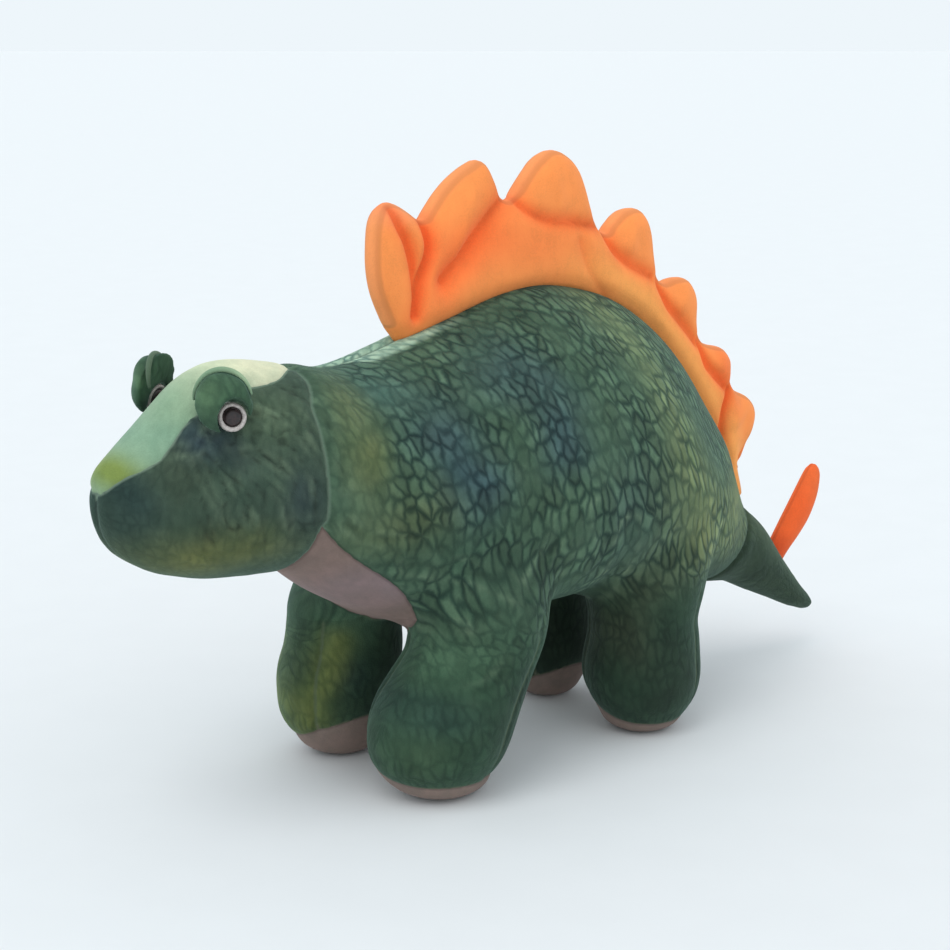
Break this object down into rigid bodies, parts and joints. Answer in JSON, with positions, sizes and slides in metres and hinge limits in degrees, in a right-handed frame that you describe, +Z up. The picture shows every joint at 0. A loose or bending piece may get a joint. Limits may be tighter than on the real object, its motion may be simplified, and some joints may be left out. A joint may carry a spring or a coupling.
{
  "type": "stuffed dinosaur",
  "caption": "Standing stuffed dinosaur with a green scaly plush skin, stubby stuffed legs, an orange lobed crest along its back and an orange spike on its tail.",
  "frame": {"origin": "on the floor under the middle of the toy's length and width", "axes": "the head points along -X and the tail along +X, +Z is up from the soles, and the toy's own left side faces -Y"},
  "size_m": [0.4039, 0.12, 0.253],
  "materials": {
    "green_plush": "printed scaly short-pile plush in mixed greens",
    "pale_plush": "pale green short-pile plush",
    "taupe_plush": "taupe short-pile plush",
    "orange_plush": "orange short-pile plush",
    "wadding": "polyester wadding",
    "eye_dark": "glossy moulded",
    "eye_pale": "satin moulded",
    "washer": "plain moulded"
  },
  "bodies": {
    "body": {"side_panel_left": "green_plush", "side_panel_right": "green_plush", "belly_panel": "taupe_plush", "body_filling": "wadding", "crest_face_left": "orange_plush", "crest_face_right": "orange_plush", "crest_filling": "wadding"},
    "head": {"head_side_left": "green_plush", "head_side_right": "green_plush", "head_gusset": "pale_plush", "head_filling": "wadding", "brow_left": "green_plush", "brow_right": "green_plush", "eye_pupil_left": "eye_dark", "eye_ring_left": "eye_pale", "eye_washer_left": "washer", "eye_pupil_right": "eye_dark", "eye_ring_right": "eye_pale", "eye_washer_right": "washer"},
    "leg_front_left": {"leg_panel_front_left": "green_plush", "leg_filling_front_left": "wadding", "sole_front_left": "taupe_plush"},
    "leg_front_right": {"leg_panel_front_right": "green_plush", "leg_filling_front_right": "wadding", "sole_front_right": "taupe_plush"},
    "leg_rear_left": {"leg_panel_rear_left": "green_plush", "leg_filling_rear_left": "wadding", "sole_rear_left": "taupe_plush"},
    "leg_rear_right": {"leg_panel_rear_right": "green_plush", "leg_filling_rear_right": "wadding", "sole_rear_right": "taupe_plush"},
    "tail": {"tail_panel": "green_plush", "tail_filling": "wadding", "tail_spike_panel": "orange_plush", "tail_spike_filling": "wadding"}
  },
  "joints": [
    {"name": "neck_nod", "type": "hinge", "parent": "body", "child": "head", "pos_m": [-0.1079, 0, 0.14], "axis": [0, 1, 0], "range_deg": [-14, 14], "stiffness_Nm_per_rad": 1.2},
    {"name": "tail_wag", "type": "hinge", "parent": "body", "child": "tail", "pos_m": [0.1311, 0, 0.066], "axis": [0, 0, 1], "range_deg": [-20, 20], "stiffness_Nm_per_rad": 0.15},
    {"name": "hip_front_left", "type": "hinge", "parent": "body", "child": "leg_front_left", "pos_m": [-0.0439, -0.033, 0.072], "axis": [0, 1, 0], "range_deg": [-15, 15], "stiffness_Nm_per_rad": 0.5},
    {"name": "hip_front_right", "type": "hinge", "parent": "body", "child": "leg_front_right", "pos_m": [-0.0439, 0.033, 0.072], "axis": [0, 1, 0], "range_deg": [-15, 15], "stiffness_Nm_per_rad": 0.5},
    {"name": "hip_rear_left", "type": "hinge", "parent": "body", "child": "leg_rear_left", "pos_m": [0.0531, -0.031, 0.068], "axis": [0, 1, 0], "range_deg": [-15, 15], "stiffness_Nm_per_rad": 0.5},
    {"name": "hip_rear_right", "type": "hinge", "parent": "body", "child": "leg_rear_right", "pos_m": [0.0531, 0.031, 0.068], "axis": [0, 1, 0], "range_deg": [-15, 15], "stiffness_Nm_per_rad": 0.5}
  ]
}
